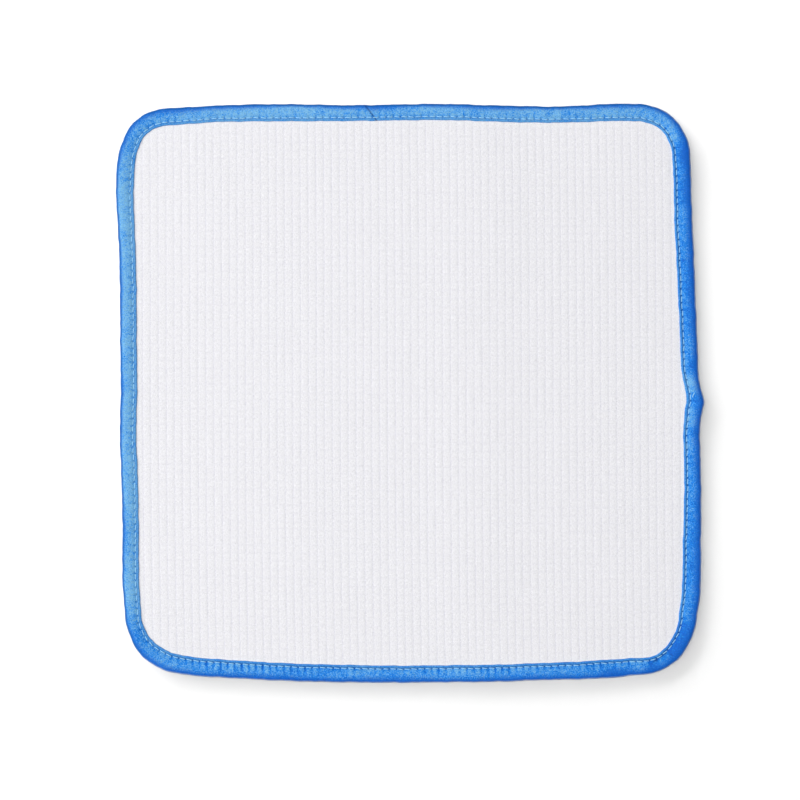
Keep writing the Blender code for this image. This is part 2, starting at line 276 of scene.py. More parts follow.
# Each stitch: turn across the line and distance from the hole, on average and how unlike.
STITCH_SLANT = (0.16, 0.05)
STITCH_GAP = (0.11, 0.02)
# Heights: the tape's plain section at the stitching, how far the thread's middle stands above it,
# the lower thread, the stray stitch, how far each arches, and the stray stitch's depth in.
SEAM_HEIGHT = 2.26
THREAD_CLEAR = 0.10
LOWER_HEIGHT = 0.24
STRAY_HEIGHT = 2.95
UPPER_ARCH = 0.26
LOWER_ARCH = -0.01
STRAY_ARCH = 0.22
STRAY_DEPTH = 6.0
# One stray stitch on the lap: from x, y to x, y.
STRAY_STITCH = ((194.6, -3.0), (196.3, 0.6))

# Colours. The brim is the outermost line of the fold, the border the line at the inner edge.
WAFFLE_TOP = (0.842, 0.838, 0.866, 1.0)
# Painted shade for the cloth's hollows and for the line between its columns.
WAFFLE_GROOVE_SHADE = (0.720, 0.715, 0.790, 1.0)
# Painted sheen where the tape faces the light; the colour after it is the tape's own blue.
SATIN_LIT_SHEEN = (0.190, 0.470, 0.760, 1.0)
SATIN_AWAY = (0.004, 0.220, 0.740, 1.0)
# Painted shade of the outer fold.
SATIN_FOLD_SHADE = (0.005, 0.116, 0.560, 1.0)
# Painted shade on the turned-down brim of the sides that face the light.
SATIN_LIT_BRIM_SHADE = (0.008, 0.122, 0.400, 1.0)
SATIN_BRIM = (0.420, 0.580, 0.780, 1.0)
# Painted shade along the tape's inner border.
SATIN_BORDER_SHADE = (0.060, 0.270, 0.660, 1.0)
# Painted shade in the seam, the needle holes and the creases.
SATIN_SUNK_SHADE = (0.004, 0.030, 0.170, 1.0)
THREAD_LIGHT = (0.47, 0.85, 1.0, 1.0)
# Painted shade between the thread's plies.
THREAD_PLY_SHADE = (0.24, 0.58, 0.90, 1.0)

# The cloth's finish, with lengths in cells: how flecks are stretched, the painted shade line
# between columns, how much painted shade the hollows get, how broken both are, slow changes of
# tone, and yarns in a cell.
FLECK_STRETCH = (1.3, 0.6, 1.0)
LINE_HALF_WIDTH = 0.10
LINE_SHADE = 0.30
HOLLOW_SHADE = 0.6
BROKEN = {"swing": 2.4, "less": 0.2}
SLOW_TONE = {"swing": 0.03, "least": 0.985}
YARNS = 9.0
YARN_RELIEF = 0.22
# The satin's finish: swing of the blotches and of the grain, the sheen share below which it
# gets the fold's painted shade, how blotches shift the fold's painted shade, spans in millimetres
# in from the edge with the share of colour there, the span of sides that count as lit, and how
# much painted shade the seam and holes get, more on the sides away from the light.
BLOTCH_SWING = 1.6
GRAIN_SWING = 3.6
LOW_SHEEN_SHADE_SPAN = (-0.7, 0.15)
FOLD_SHIFT = -0.45
FOLD_SPAN = (0.1, 1.15)
LIT_SPAN = (0.35, 0.6)
LIT_BRIM_SHADE = {"span": (0.6, 2.0), "share": 0.85}
PALE_BRIM = {"span": (0.4, 1.2), "share": 0.4}
BORDER_SHADE = {"span": (9.2, 10.0), "share": 0.45}
SEAM_SHADE = 0.62
SUNK_SPAN = (0.0, 0.9)
SUNK_ON_SPAN = (1.0, 0.4)
SUNK_SHADE = 0.85
THREAD_TURNS = 8.0
THREAD_PLIES = 2.0

# The studio. The frame is this wide at the height of the cloth's upper side.
FRAME_WIDTH = 552.8
FRAME_HEIGHT = 2.0
FRAME_MIDDLE = (-6.9, -4.7)
LENS = 100.0
SENSOR = 36.0
CAMERA_RANGE = (0.05, 20.0)
# The floor and the world, in metres: the floor fades into a pale surround over FLOOR_FADE.
FLOOR_HALF_WIDTH = 3.0
FLOOR_HEIGHT = -0.0001
FLOOR_FADE = (0.42, 1.2)
FLOOR_ALBEDO = 0.46
FLOOR_MOTTLE = 0.01
FLOOR_GLOW = 0.02
WORLD_COLOUR = (0.95, 0.97, 1.0, 1.0)
WORLD_GLOW = 0.02
SURROUND_GLOW = 1.06
# The softboxes. Each: direction as degrees round from +X and up, distance, width and height.
SOFTBOXES = {
    "key": {"round": 171.0, "up": 38.0, "distance": 4.3, "size": (4.55, 3.9), "power": 184.0},
    "overhead": {"round": 0.0, "up": 89.9, "distance": 2.4, "size": (1.1, 1.1), "power": 35.0},
    "table_lamp": {"round": 132.2, "up": 10.0, "distance": 4.0, "size": (5.3, 1.4),
                   "power": 980.0},
}

rng = np.random.default_rng(20)


# Shape helpers

def waves_round(at, length, waves):
    """Sum of sines round the edge: each row gives the swings in one round, the size and start."""
    turn = 2 * math.pi * at / length
    return sum(size * np.sin(count * turn + start) for count, size, start in waves)


def bump(u):
    """Soft hill: one at u = 0, falling smoothly to nothing at u = 1 and beyond."""
    return np.clip(1.0 - u**2, 0.0, None)**2


def ease(u):
    """Smooth step from 0 at u = 0 to 1 at u = 1."""
    u = np.clip(u, 0.0, 1.0)
    return u * u * (3.0 - 2.0 * u)


def height_off_surface(x, y, depth):
    """How far the underside stands off the surface: upright soft folds, each a hill across x whose
    height changes along y, round hills where the edge is lifted, and a smooth curl all round by
    the depth in from the edge."""
    height = EDGE_CURL * (1.0 - ease(depth / EDGE_CURL_REACH))
    for fold in FOLDS:
        top, middle, bottom = fold["height"]
        middle_x = np.interp(y, [-FOLD_END_Y, FOLD_END_Y], [fold["x"][1], fold["x"][0]])
        rise = np.interp(y, [-FOLD_END_Y, 0.0, FOLD_END_Y], [bottom, middle, top])
        height = height + rise * bump((x - middle_x) / fold["half_width"])
    for lift_x, lift_y, rise, reach in LIFTS:
        height = height + rise * bump(np.hypot(x - lift_x, y - lift_y) / reach)
    return height


def smooth_between(at, rows_at, rows_value, length):
    """Cubic through rows along a closed path, with each slope taken from the row's neighbours."""
    x = np.concatenate([rows_at[-2:] - length, rows_at, rows_at[:2] + length])
    y = np.concatenate([rows_value[-2:], rows_value, rows_value[:2]])
    slope = np.gradient(y, x)
    k = np.clip(np.searchsorted(x, at, side="right") - 1, 0, len(x) - 2)
    span = x[k + 1] - x[k]
    t = (at - x[k]) / span
    return ((2 * t**3 - 3 * t**2 + 1) * y[k] + (t**3 - 2 * t**2 + t) * span * slope[k]
            + (3 * t**2 - 2 * t**3) * y[k + 1] + (t**3 - t**2) * span * slope[k + 1])


def arc_end(name, quarter):
    """Point on a corner's arc at its start (quarter 0) or its end (quarter 1)."""
    corner = CORNERS[name]
    angle = math.radians(corner["from_deg"] + 90.0 * quarter)
    return np.array([corner["x"] + corner["radius"] * math.cos(angle),
                     corner["y"] + corner["radius"] * math.sin(angle)])


def edge_line():
    """The towel's edge once round, every half millimetre: arcs and straight sides, moved outwards
    along their normals by the smooth curve through the rows and by a faint wobble."""
    at, base, outward, rows = [], [], [], []
    travelled = 0.0
    for index, (corner_name, side_name) in enumerate(ROUND):
        corner = CORNERS[corner_name]
        arc_length = corner["radius"] * math.pi / 2
        for degrees, out, width in CORNER_ROWS[corner_name]:
            rows.append((travelled + (degrees - corner["from_deg"]) / 90.0 * arc_length, out, width))
        places = np.arange(0.0, arc_length, EDGE_STEP)
        angle = math.radians(corner["from_deg"]) + places / corner["radius"]
        direction = np.stack([np.cos(angle), np.sin(angle)], axis=1)
        at.append(travelled + places)
        base.append(np.array([corner["x"], corner["y"]]) + corner["radius"] * direction)
        outward.append(direction)
        travelled += arc_length

        start = arc_end(corner_name, 1)
        end = arc_end(ROUND[(index + 1) % len(ROUND)][0], 0)
        side_length = float(np.linalg.norm(end - start))
        along = (end - start) / side_length
        axis = 1 if side_name in ("right", "left") else 0
        for coordinate, out, width in SIDE_ROWS[side_name]:
            rows.append((travelled + (coordinate - start[axis]) / along[axis], out, width))
        places = np.arange(0.0, side_length, EDGE_STEP)
        at.append(travelled + places)
        base.append(start + along * places[:, None])
        outward.append(np.tile([along[1], -along[0]], (len(places), 1)))
        travelled += side_length

    rows = np.array(rows)
    at, base, outward = (np.concatenate(part) for part in (at, base, outward))
    out = smooth_between(at, rows[:, 0], rows[:, 1], travelled)
    width = smooth_between(at, rows[:, 0], rows[:, 2], travelled)
    edge = base + outward * out[:, None]
    edge = edge - (edge.max(axis=0) + edge.min(axis=0)) / 2
    wobble = waves_round(at, travelled, EDGE_WOBBLE)
    return {"at": at, "edge": edge + outward * wobble[:, None], "outward": outward,
            "width": width, "length": travelled}


def along_edge(rim, at, name):
    """A quantity of the edge line at any places along it."""
    values = rim[name]
    if values.ndim == 1:
        return np.interp(at, rim["at"], values, period=rim["length"])
    return np.stack([np.interp(at, rim["at"], values[:, k], period=rim["length"])
                     for k in range(values.shape[1])], axis=-1)


def place_inward(rim, at, depth):
    """The places at a depth in from the edge, square to it."""
    inward = -along_edge(rim, at, "outward")
    return along_edge(rim, at, "edge") + inward * np.asarray(depth)[..., None]


def stitch_inset(rim):
    """The stitching's distance from the tape's inner edge, larger over the lap."""
    edge = rim["edge"]
    near_lap = bump((edge[:, 1] - STITCH_LAP["y"]) / STITCH_LAP["reach"]) * (edge[:, 0] > 0)
    return STITCH_IN + (STITCH_IN_AT_LAP - STITCH_IN) * near_lap


def number_stitches(rim):
    """Adds to the edge line the stitching's inset and its running stitch number, which grows
    evenly along the stitched line itself."""
    inset = stitch_inset(rim)
    line = rim["edge"] - rim["outward"] * (rim["width"] - inset)[:, None]
    pieces = np.linalg.norm(np.roll(line, -1, axis=0) - line, axis=1)
    count = round(pieces.sum() / STITCH_PITCH)
    number = np.concatenate([[0.0], np.cumsum(pieces)[:-1]]) / pieces.sum() * count
    rim.update(inset=inset, stitch=number, stitches=count)


def place_of_stitch(rim, number):
    """Where along the edge a stitch number lies."""
    return np.interp(number, np.append(rim["stitch"], rim["stitches"]),
                     np.append(rim["at"], rim["length"]))


# Meshes

def new_object(name, data):
    """An object in the scene for a mesh, a lamp or a camera."""
    obj = bpy.data.objects.new(name, data)
    bpy.context.scene.collection.objects.link(obj)
    return obj


def make_mesh(name, points, faces, uv, attributes):
    """One smooth-shaded mesh object from arrays: points in millimetres, lists of faces, a UV place
    in metres for each face corner, and named values for each point."""
    mesh = bpy.data.meshes.new(name)
    mesh.from_pydata((points * MM).tolist(), [], faces)
    mesh.polygons.foreach_set("use_smooth", np.ones(len(mesh.polygons), dtype=bool))
    layer = mesh.uv_layers.new(name="cloth")
    layer.data.foreach_set("uv", np.asarray(uv, dtype=np.float32).ravel())
    for key, values in attributes.items():
        stored = mesh.attributes.new(key, "FLOAT", "POINT")
        stored.data.foreach_set("value", np.asarray(values, dtype=np.float32).ravel())
    mesh.update()
    return new_object(name, mesh)


def ring_quads(rows, columns):
    """Quads of a grid that closes on itself both ways, rows along the path and columns round it."""
    i, j = np.meshgrid(np.arange(rows), np.arange(columns), indexing="ij")
    i2, j2 = (i + 1) % rows, (j + 1) % columns
    return np.stack([i * columns + j, i2 * columns + j, i2 * columns + j2, i * columns + j2],
                    axis=-1).reshape(-1, 4)


# The waffle cloth

def drift(x, y, terms):
    """Cubic in x and y, in cells."""
    u, v = x / DRIFT_REACH, y / DRIFT_REACH
    powers = [1.0, u, v, u * u, u * v, v * v, u**3, u * u * v, u * v * v, v**3]
    return sum(share * power for share, power in zip(terms, powers))


def weave_number(x, y):
    """Column and row number at a place: the place over the pitch, plus the drift."""
    return (x / COLUMN_PITCH + drift(x, y, COLUMN_DRIFT), y / ROW_PITCH + drift(x, y, ROW_DRIFT))


def weave_place(column, row):
    """The place of a column and row number, by stepping the same formula backwards."""
    x, y = column * COLUMN_PITCH, row * ROW_PITCH
    for _ in range(WEAVE_ROUNDS):
        x, y = ((column - drift(x, y, COLUMN_DRIFT)) * COLUMN_PITCH,
                (row - drift(x, y, ROW_DRIFT)) * ROW_PITCH)
    return x, y


def depth_in_edge(rim, x, y):
    """Distance in from the towel's edge and the tape's width there, from the nearest point of the
    edge line. Places well inside get a large distance without a search."""
    flat_x, flat_y = x.ravel(), y.ravel()
    depth = np.full(flat_x.shape, FAR_INSIDE)
    width = np.full(flat_x.shape, TAPE_NOMINAL_WIDTH)
    near = np.flatnonzero((np.abs(flat_x) > NEAR_EDGE[0]) | (np.abs(flat_y) > NEAR_EDGE[1]))
    edge, outward, widths = (rim[name][::SEARCH_STEP] for name in ("edge", "outward", "width"))
    for part in np.array_split(near, max(1, len(near) // SEARCH_PART)):
        gap_x = flat_x[part, None] - edge[None, :, 0]
        gap_y = flat_y[part, None] - edge[None, :, 1]
        k = np.argmin(gap_x**2 + gap_y**2, axis=1)
        rows = np.arange(len(part))
        depth[part] = -(gap_x[rows, k] * outward[k, 0] + gap_y[rows, k] * outward[k, 1])
        width[part] = widths[k]
    return depth.reshape(x.shape), width.reshape(x.shape)


def pillow(column, row, uneven):
    """The weave's relief in one cell: how deep a place lies between columns and between rows, from
    0 at a pillow's top to 1 in the groove. Between columns a narrow groove and a low dome add up,
    filled again where rows cross them; between rows there is a dome that fades out between
    columns. Also gives the pillow's own height."""
    across = np.abs((column + 0.5) % 1.0 - 0.5)
    along = np.abs((row + 0.5) % 1.0 - 0.5)
    between_columns = (GROOVE["weight"] * np.exp(-(across / GROOVE["width"])**2)
                       + DOME["weight"] * np.clip(1 - across / DOME["width"], 0, 1)**DOME["power"])
    between_rows = np.clip(1 - along / ROW_DOME["width"], 0, 1)**ROW_DOME["power"]
    between_rows = between_rows * (1.0 - CROSSING["row_loss"] * between_columns)
    filled = 1.0 - CROSSING["filled"] * np.exp(-(along / CROSSING["width"])**2)
    cell_column = np.floor(column + SAME_CELL).astype(int) % uneven.shape[0]
    cell_row = np.floor(row + SAME_CELL).astype(int) % uneven.shape[1]
    own = uneven[cell_column, cell_row] * ease(across / PILLOW_RIM) * ease(along / PILLOW_RIM)
    return between_columns * filled, between_rows, own


def cloth_heights(rim, x, y, column, row, uneven):
    """Upper and lower height of the cloth, and how deep in a groove each upper point lies."""
    depth, width = depth_in_edge(rim, x, y)
    section = np.array(CLOTH_SECTION)
    beyond = depth - width
    under, over, share = (np.interp(beyond, section[:, 0], section[:, k]) for k in (1, 2, 3))
    columns, rows, own = pillow(column, row, uneven)
    base = height_off_surface(x, y, depth)
    hollow = COLUMN_GROOVE * columns + ROW_GROOVE * rows
    upper = base + over - share * (hollow - own)
    lower = base + under + share * BACK_GROOVE * (columns + BACK_ROW_SHARE * rows)
    return upper, lower, share * hollow / (COLUMN_GROOVE + ROW_GROOVE)


def grid_lines(count, stations, under):
    """Grid lines from -count to count cells, and the numbers of those that the underside uses."""
    lines = np.append((np.arange(-count, count)[:, None] + np.array(stations)).ravel(), count)
    numbers = (np.arange(2 * count)[:, None] * len(stations) + np.array(under)).ravel()
    return lines, np.append(numbers, len(lines) - 1)


def grid_faces(cell):
    """Quads of a grid over the cells that are kept, and the edges of their stepped rim with the
    kept side on their left."""
    number = np.arange((cell.shape[0] + 1) * (cell.shape[1] + 1)).reshape(cell.shape[0] + 1, -1)
    corner = number[:-1, :-1], number[1:, :-1], number[1:, 1:], number[:-1, 1:]
    wide = np.pad(cell, 1)
    beside = wide[1:-1, :-2], wide[2:, 1:-1], wide[1:-1, 2:], wide[:-2, 1:-1]
    rim_edges = [np.stack([corner[k][cell & ~beside[k]], corner[(k + 1) % 4][cell & ~beside[k]]],
                          -1) for k in range(4)]
    return np.stack(corner, -1)[cell], np.concatenate(rim_edges)


def strip_faces(x, y, rim_edges, cut, is_kept):
    """Triangles between a grid's stepped rim and the cut edge. Cut points get the numbers -1, -2
    and so on."""
    members, local = np.unique(rim_edges, return_inverse=True)
    local = local.reshape(rim_edges.shape) + len(cut)
    ring = np.stack([np.arange(len(cut)), (np.arange(len(cut)) + 1) % len(cut)], -1)
    plan = np.concatenate([cut, np.stack([x[members], y[members]], -1)])
    triangles = np.array(delaunay_2d_cdt(
        plan.tolist(), np.concatenate([ring, local]).tolist(), [], 1, SAME_POINT)[2])
    centre = plan[triangles].mean(axis=1)
    triangles = triangles[~is_kept(*weave_number(centre[:, 0], centre[:, 1]))]
    return np.concatenate([-1 - np.arange(len(cut)), members])[triangles]


def build_cloth(rim):
    """The waffle cloth, one closed mesh. Its upper face is a grid of five by three quads a cell on
    the drifting weave, its underside three by one a cell, and a strip joins each to the cut edge."""
    lines_u, under_u = grid_lines(CLOTH_COLUMNS, COLUMN_STATIONS, COLUMN_STATIONS_UNDER)
    lines_v, under_v = grid_lines(CLOTH_ROWS, ROW_STATIONS, ROW_STATIONS_UNDER)
    column, row = np.meshgrid(lines_u, lines_v, indexing="ij")
    x, y = weave_place(column, row)
    depth, _ = depth_in_edge(rim, x, y)
    inside = (depth > CLOTH_GRID_EDGE)[np.ix_(under_u, under_v)]
    kept = inside[:-1, :-1] & inside[1:, :-1] & inside[:-1, 1:] & inside[1:, 1:]
    uneven = PILLOW_UNEVEN * rng.standard_normal((2 * CLOTH_COLUMNS, 2 * CLOTH_ROWS))
    upper, lower, hollow = cloth_heights(rim, x, y, column, row, uneven)

    turn = np.arange(0.0, rim["length"], CUT_STEP)
    cut = place_inward(rim, turn, CLOTH_CUT)
    cut_column, cut_row = weave_number(cut[:, 0], cut[:, 1])
    cut_upper, cut_lower, _ = cloth_heights(rim, cut[:, 0], cut[:, 1], cut_column, cut_row, uneven)

    def is_kept(at_column, at_row):
        """Whether places lie in the kept cells."""
        i = np.searchsorted(lines_u[under_u], at_column, side="right") - 1
        j = np.searchsorted(lines_v[under_v], at_row, side="right") - 1
        return kept[np.clip(i, 0, kept.shape[0] - 1), np.clip(j, 0, kept.shape[1] - 1)]

    kept_fine = np.repeat(np.repeat(kept, np.diff(under_u), 0), np.diff(under_v), 1)
    every = np.ix_(np.arange(len(lines_u)), np.arange(len(lines_v)))
    parts, faces, rings, start = [], [], [], 0
    for cell, chosen, height, cut_height in ((kept_fine, every, upper, cut_upper),
                                             (kept, np.ix_(under_u, under_v), lower, cut_lower)):
        data = np.stack([a[chosen].ravel() for a in (x, y, height, column, row, hollow)], -1)
        quads, rim_edges = grid_faces(cell)
        triangles = strip_faces(data[:, 0], data[:, 1], rim_edges, cut, is_kept)
        used = np.unique(quads)
        renumber = np.zeros(len(data), dtype=int)
        renumber[used] = start + np.arange(len(used))
        first_cut = start + len(used)
        triangles = np.where(triangles >= 0, renumber[np.maximum(triangles, 0)],
                             first_cut - 1 - triangles)
        order = slice(None) if height is upper else slice(None, None, -1)
        faces += renumber[quads][:, order].tolist() + triangles[:, order].tolist()
        ring = np.stack([cut[:, 0], cut[:, 1], cut_height, cut_column, cut_row,
                         np.zeros(len(cut))], -1)
        parts.append(np.concatenate([data[used], ring]))
        rings.append(first_cut + np.arange(len(cut)))
        start = first_cut + len(cut)
    faces += np.stack([rings[1], np.roll(rings[1], -1), np.roll(rings[0], -1), rings[0]],
                      -1).tolist()
    data = np.concatenate(parts)
    corners = np.fromiter((number for face in faces for number in face), dtype=int)
    uv = data[corners][:, 3:5] * np.array([COLUMN_PITCH, ROW_PITCH]) * MM
    return make_mesh("waffle_cloth", data[:, :3], faces, uv, {"hollow": data[:, 5]})


# The tape

def distance_to_segment(x, y, x0, y0, x1, y1):
    """Distance of places from a straight line between two points."""
    length_squared = (x1 - x0)**2 + (y1 - y0)**2
    t = np.clip(((x - x0) * (x1 - x0) + (y - y0) * (y1 - y0)) / length_squared, 0.0, 1.0)
    return np.hypot(x - x0 - t * (x1 - x0), y - y0 - t * (y1 - y0))


def past_lap_end(x, y):
    """Signed distance past the tape's folded end, positive over the layer below it."""
    (x0, y0), (x1, y1) = LAP_LINE
    length = math.hypot(x1 - x0, y1 - y0)
    return ((x - x0) * (y1 - y0) - (y - y0) * (x1 - x0)) / length


def lap_height(x, y):
    """The lap: it rises gently towards the folded end, drops quickly past it and fades out."""
    past = past_lap_end(x, y)
    rise = ease((past + LAP_RUN_UP) / LAP_RUN_UP) * (1.0 - LAP_LOSS * ease(past / LAP_DROP))
    fade = 1.0 - ease((past - LAP_DROP) / LAP_FADE)
    return LAP_RISE * rise * fade * (x > LAP_SIDE_X)


def pucker_height(x, y):
    """How strong the puckers are at a place."""
    strength = np.full(np.shape(x), PUCKER_ELSEWHERE)
    for px, py, reach, height in PUCKERS:
        strength = strength + (height - PUCKER_ELSEWHERE) * bump(np.hypot(x - px, y - py) / reach)
    return strength


def tape_relief(rim, at, depth, inner, x, y, hole_strength):
    """Height of the tape's upper leaf over its plain section: shallow waves along it, a valley
    across it at each needle hole with a swell between, a dent at the hole, the lap and creases.
    Also gives how far each point lies in a hole, a crease and the seam, which the finish darkens
    with painted shade, and the swell, which it gives painted sheen."""
    number = np.interp(at, rim["at"], rim["stitch"], period=rim["length"])
    from_hole = np.abs((number + 0.5) % 1.0 - 0.5) * STITCH_PITCH
    strength = hole_strength[np.round(number).astype(int) % len(hole_strength)]
    valley = np.exp(-(from_hole / VALLEY_WIDTH)**2)
    reach = ease((inner - PUCKER_START) / PUCKER_RISE) * ease((PUCKER_REACH - inner) / PUCKER_FALL)
    puckers = pucker_height(x, y) * reach * (PUCKER_MEAN - valley * strength)
    swell = pucker_height(x, y) * reach * (SWELL_MEAN - valley * strength)
    from_line = inner - along_edge(rim, at, "inset")
    hole = np.exp(-(from_hole / HOLE_WIDTH)**2) * np.exp(-(from_line / HOLE_WIDTH)**2)
    seam_shade = np.exp(-((from_line + SEAM_OFFSET) / SEAM_WIDTH)**2)
    turn = 2 * math.pi * at / rim["length"]
    waves = sum(size * np.sin(count * turn + start + slant * depth)
                for count, size, start, slant in WAVES)
    height = (waves * ease(depth / WAVES_IN) + puckers - HOLE_DEPTH * hole * strength
              + lap_height(x, y))
    crease_shade = np.zeros(np.shape(x))
    # Each crease is sunk into the tape, and its darkness is painted shade.
    for x0, y0, x1, y1, half_width, sunk, painted_shade in CREASES:
        line = np.exp(-(distance_to_segment(x, y, x0, y0, x1, y1) / half_width)**2)
        height = height - sunk * line
        crease_shade = np.maximum(crease_shade, painted_shade * line)
    return height, {"hole": hole, "crease_shade": crease_shade, "seam_shade": seam_shade}, swell


def patches_at(x, y):
    """Changes of the painted sheen and of the reach of the fold's painted shade at places, each
    patch a soft round hill.
    """
    hills = [bump(np.hypot(x - row[0], y - row[1]) / row[2]) for row in PATCHES]
    return (sum(row[3] * hill for row, hill in zip(PATCHES, hills)),
            sum(row[4] * hill for row, hill in zip(PATCHES, hills)))


def by_side(rim, at, level):
    """A level that changes with the way the edge faces: a plain part, and one for each part of the
    edge's outward direction."""
    outward = along_edge(rim, at, "outward")
    return level["plain"] + level["x"] * outward[..., 0] + level["y"] * outward[..., 1]


def tape_nap(rim, at, x, y, swell):
    """How much painted sheen the satin gets: more where the edge faces the light, with slow waves
    along it, a lighter band before the lap's end, the patches and the swell of the puckers."""
    from_band = (past_lap_end(x, y) + LAP_BAND["before"]) / LAP_BAND["half_width"]
    band = LAP_BAND["tone"] * np.exp(-from_band**2) * (x > LAP_SIDE_X)
    slow = waves_round(at, rim["length"], SHEEN_WAVES)
    nap = by_side(rim, at, LIGHT_OF_SIDE) + slow + band + patches_at(x, y)[0]
    return np.clip(nap + SHEEN_OF_SWELL * swell, *SHEEN_LIMITS)


def fold_reach(rim, at, x, y):
    """How far in from the edge the painted shade of the outer fold reaches, in millimetres: by the
    way the edge faces, with a slow wave along it and the patches."""
    slow = waves_round(at, rim["length"], FOLD_WAVES)
    return np.maximum(by_side(rim, at, FOLD_OF_SIDE) + slow + patches_at(x, y)[1], FOLD_LEAST)


def tape_points(rim, at, hole_strength):
    """The tape's section carried along the edge, as arrays of place by row: their points,
    their distance in as if the tape had its nominal width, and the values that its finish
    reads."""
    at = at[:, None]
    from_inner = np.array([edge == "inner" for edge, rows in TAPE_RUNS for _ in rows])
    distance, height, share = np.array([row for _, rows in TAPE_RUNS for row in rows]).T
    width = along_edge(rim, at, "width")
    depth = np.where(from_inner, width - distance, distance)
    inner = width - depth
    place = place_inward(rim, at, depth)
    x, y = place[..., 0], place[..., 1]
    relief, sunk, swell = tape_relief(rim, at, depth, inner, x, y, hole_strength)
    z = height + share * relief + height_off_surface(x, y, depth)
    at = np.broadcast_to(at, x.shape)
    values = {name: value * share for name, value in sunk.items()}
    values.update(nap=tape_nap(rim, at, x, y, swell), fold_reach=fold_reach(rim, at, x, y),
                  towards_light=by_side(rim, at, LIGHT_OF_SIDE))
    return np.stack([x, y, z], -1), depth / width * TAPE_NOMINAL_WIDTH, values


def tape_stations(rim):
    """Places along the edge for the tape's sections: some in each stitch, and more near the
    slanting join."""
    numbers = (np.arange(rim["stitches"])[:, None] + np.array(STITCH_STATIONS)).ravel()
    at = place_of_stitch(rim, numbers)
    edge = along_edge(rim, at, "edge")
    x0, _, x1 = CREASES[0][:3]
    near = (edge[:, 1] > 0) & (edge[:, 0] > x0 - JOIN_MARGIN) & (edge[:, 0] < x1 + JOIN_MARGIN)
    first, last = at[near].min(), at[near].max()
    return np.concatenate([at[at < first], np.arange(first, last, JOIN_STEP), at[at >= last]])


def build_tape(rim, hole_strength):
    """The folded tape: its section carried round the edge as one closed ring."""
    at = tape_stations(rim)
    points, across, values = tape_points(rim, at, hole_strength)
    quads = ring_quads(*across.shape)
    along = np.append(at, rim["length"])
    i = np.repeat(np.arange(len(at)), across.shape[1])
    u = np.stack([along[i], along[i + 1], along[i + 1], along[i]], -1)
    uv = np.stack([u, across.ravel()[quads]], -1) * MM
    return make_mesh("satin_tape", points.reshape(-1, 3), quads.tolist(), uv, values)


# The stitching

def thread_mesh(starts, ends, lifts):
    """Stitches as short round-ended tubes: rings round a line from start to end that dips at both
    ends, with the radius growing from nothing much as a half circle does."""
    t = np.array(THREAD_RINGS)
    arch = 1.0 - (2 * t - 1.0)**ARCH_POWER
    radius = THREAD_RADIUS * np.sqrt(np.clip(1.0 - (2 * t - 1.0)**END_POWER, END_LEAST, 1.0))
    middle = starts[:, None, :] + (ends - starts)[:, None, :] * t[:, None]
    middle = middle + UP * (lifts[:, None] * arch)[..., None]
    direction = (ends - starts) / np.linalg.norm(ends - starts, axis=1)[:, None]
    side = np.cross(direction, UP)
    side = side / np.linalg.norm(side, axis=1)[:, None]
    angle = 2 * math.pi * np.arange(THREAD_SIDES) / THREAD_SIDES
    ring = side[:, None, None, :] * np.cos(angle)[:, None] + UP * np.sin(angle)[:, None]
    points = middle[:, :, None, :] + ring * radius[:, None, None]
    count, rings, sides = points.shape[:3]
    k, r, s = np.meshgrid(np.arange(count), np.arange(rings - 1), np.arange(sides), indexing="ij")
    s2 = (s + 1) % sides
    number = (k * rings + r) * sides
    quads = np.stack([number + s, number + s2, number + sides + s2, number + sides + s], -1)
    first = (np.arange(count) * rings * sides)[:, None] + np.arange(sides)
    last = first + (rings - 1) * sides
    faces = quads.reshape(-1, 4).tolist() + first[:, ::-1].tolist() + last.tolist()
    corners = np.concatenate([quads.ravel(), first[:, ::-1].ravel(), last.ravel()])
    along = np.broadcast_to(t[:, None], points.shape[:3]).ravel()
    round_it = np.broadcast_to(angle / (2 * math.pi), points.shape[:3]).ravel()
    uv = np.stack([along[corners], round_it[corners]], -1)
    return make_mesh("stitch_thread", points.reshape(-1, 3), faces, uv, {})


def build_stitches(rim, hole_strength):
    """One stitch from each needle hole to the next, on the upper and the lower leaf, each turned
    a little in its own way, and a stray one on the lap."""
    count = rim["stitches"]
    number = np.arange(count)
    starts, ends, lifts = [], [], []
    for upper in (True, False):
        slant = STITCH_SLANT[0] + STITCH_SLANT[1] * rng.standard_normal(count)
        gap = STITCH_GAP[0] + STITCH_GAP[1] * rng.standard_normal((2, count))
        for tips, share, lean in ((starts, gap[0], -1.0), (ends, 1.0 - gap[1], 1.0)):
            at = place_of_stitch(rim, (number + share) % count)
            inset = along_edge(rim, at, "inset") + lean * slant * (1 if upper else -1)
            depth = along_edge(rim, at, "width") - inset
            place = place_inward(rim, at, depth)
            x, y = place[:, 0], place[:, 1]
            z = LOWER_HEIGHT
            if upper:
                relief = tape_relief(rim, at, depth, inset, x, y, hole_strength)[0]
                z = SEAM_HEIGHT + relief + THREAD_CLEAR
            tips.append(np.stack([x, y, z + height_off_surface(x, y, depth)], -1))
        lifts.append(np.full(count, UPPER_ARCH if upper else LOWER_ARCH))
    x, y = np.array(STRAY_STITCH).T
    z = STRAY_HEIGHT + lap_height(x, y) + height_off_surface(x, y, STRAY_DEPTH)
    for tips, tip in zip((starts, ends), np.stack([x, y, z], -1)):
        tips.append(tip[None])
    lifts.append(np.array([STRAY_ARCH]))
    return thread_mesh(*(np.concatenate(part) for part in (starts, ends, lifts)))


# Finishes

def add_node(tree, kind, **settings):
    """A node of the given kind with its plain settings."""
    node = tree.nodes.new(kind)
    for key, value in settings.items():
        setattr(node, key, value)
    return node


def feed(socket, value):
    """Gives an input a plain value, or links it to an output in the same tree."""
    if isinstance(value, bpy.types.NodeSocket):
        socket.id_data.links.new(value, socket)
    else:
        socket.default_value = value


